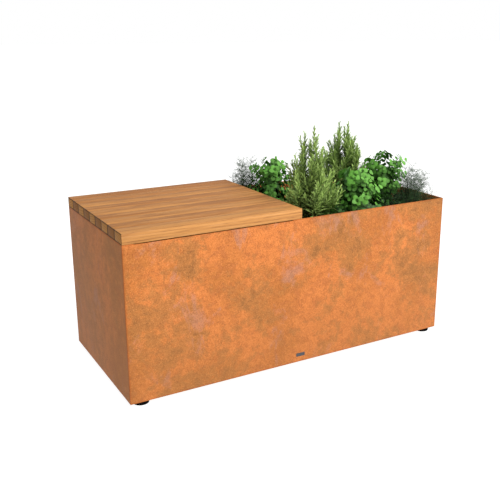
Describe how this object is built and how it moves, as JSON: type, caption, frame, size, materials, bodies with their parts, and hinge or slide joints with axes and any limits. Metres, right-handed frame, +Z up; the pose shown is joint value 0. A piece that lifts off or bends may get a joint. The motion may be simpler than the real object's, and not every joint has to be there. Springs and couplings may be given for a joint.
{
  "type": "planter box with lidded storage",
  "caption": "Rectangular weathering-steel trough on small feet; a teak lid closes a storage compartment on one side and herbs grow in the open side.",
  "frame": {"origin": "on the ground, under the middle of the box", "axes": "+X along the box's length from the lid towards the herbs, +Y from the front towards the rear, +Z up"},
  "size_m": [1, 0.4505, 0.661],
  "materials": {
    "corten": "weathering steel with an even orange rust patina, matte and mottled",
    "teak": "oiled teak, satin, straight grain",
    "steel": "brushed stainless steel",
    "rubber": "matte black rubber",
    "plastic": "matte black plastic",
    "soil": "dark crumbly potting soil of bark and peat",
    "rosemary": "yellow-green needle leaves",
    "parsley": "bright mid-green rounded leaves",
    "dill": "fine dark green threads"
  },
  "bodies": {
    "box": {"front_panel": "corten", "rear_panel": "corten", "left_end_panel": "corten", "right_end_panel": "corten", "floor_panel": "corten", "divider_panel": "corten", "lid_ledge": "corten", "liner_ledge_front": "corten", "liner_ledge_rear": "corten", "name_plate": "steel", "lid_buffer_left_front": "rubber", "lid_buffer_left_rear": "rubber", "lid_buffer_right_front": "rubber", "lid_buffer_right_rear": "rubber", "foot_nut_front_left": "steel", "foot_nut_front_right": "steel", "foot_nut_rear_left": "steel", "foot_nut_rear_right": "steel"},
    "foot_front_left": {"foot_pad_front_left": "rubber"},
    "foot_front_right": {"foot_pad_front_right": "rubber"},
    "foot_rear_left": {"foot_pad_rear_left": "rubber"},
    "foot_rear_right": {"foot_pad_rear_right": "rubber"},
    "screw_front_left": {"foot_stud_front_left": "steel"},
    "screw_front_right": {"foot_stud_front_right": "steel"},
    "screw_rear_left": {"foot_stud_rear_left": "steel"},
    "screw_rear_right": {"foot_stud_rear_right": "steel"},
    "lid": {"lid_stave_1": "teak", "lid_stave_2": "teak", "lid_stave_3": "teak", "lid_stave_4": "teak", "lid_stave_5": "teak", "lid_stave_6": "teak", "lid_stave_7": "teak", "lid_stave_8": "teak", "lid_stave_9": "teak", "lid_cleat_left": "teak", "lid_cleat_right": "teak", "lid_screw_left_1": "steel", "lid_screw_left_2": "steel", "lid_screw_left_3": "steel", "lid_screw_left_4": "steel", "lid_screw_right_1": "steel", "lid_screw_right_2": "steel", "lid_screw_right_3": "steel", "lid_screw_right_4": "steel"},
    "planting_insert": {"planting_liner": "plastic", "soil": "soil", "rosemary_front": "rosemary", "rosemary_rear": "rosemary", "parsley_left": "parsley", "parsley_middle": "parsley", "parsley_right": "parsley", "dill_left": "dill", "dill_right": "dill"}
  },
  "joints": [
    {"name": "lid_lift_off", "type": "slide", "parent": "box", "child": "lid", "axis": [0, 0, 1], "range_m": [0, 0.3]},
    {"name": "insert_lift_out", "type": "slide", "parent": "box", "child": "planting_insert", "axis": [0, 0, 1], "range_m": [0, 0.4]},
    {"name": "foot_front_left_height", "type": "slide", "parent": "box", "child": "foot_front_left", "axis": [0, 0, -1], "range_m": [0, 0.01]},
    {"name": "foot_front_right_height", "type": "slide", "parent": "box", "child": "foot_front_right", "axis": [0, 0, -1], "range_m": [0, 0.01]},
    {"name": "foot_rear_left_height", "type": "slide", "parent": "box", "child": "foot_rear_left", "axis": [0, 0, -1], "range_m": [0, 0.01]},
    {"name": "foot_rear_right_height", "type": "slide", "parent": "box", "child": "foot_rear_right", "axis": [0, 0, -1], "range_m": [0, 0.01]},
    {"name": "foot_front_left_turn", "type": "hinge", "parent": "foot_front_left", "child": "screw_front_left", "pos_m": [-0.465, -0.203, 0.02], "axis": [0, 0, -1], "range_deg": [0, 2400]},
    {"name": "foot_front_right_turn", "type": "hinge", "parent": "foot_front_right", "child": "screw_front_right", "pos_m": [0.465, -0.203, 0.02], "axis": [0, 0, -1], "range_deg": [0, 2400]},
    {"name": "foot_rear_left_turn", "type": "hinge", "parent": "foot_rear_left", "child": "screw_rear_left", "pos_m": [-0.465, 0.203, 0.02], "axis": [0, 0, -1], "range_deg": [0, 2400]},
    {"name": "foot_rear_right_turn", "type": "hinge", "parent": "foot_rear_right", "child": "screw_rear_right", "pos_m": [0.465, 0.203, 0.02], "axis": [0, 0, -1], "range_deg": [0, 2400]}
  ],
  "couplings": [
    {"joint": "foot_front_left_height", "follows": "foot_front_left_turn", "m_per_rad": 0.00023873},
    {"joint": "foot_front_right_height", "follows": "foot_front_right_turn", "m_per_rad": 0.00023873},
    {"joint": "foot_rear_left_height", "follows": "foot_rear_left_turn", "m_per_rad": 0.00023873},
    {"joint": "foot_rear_right_height", "follows": "foot_rear_right_turn", "m_per_rad": 0.00023873}
  ]
}
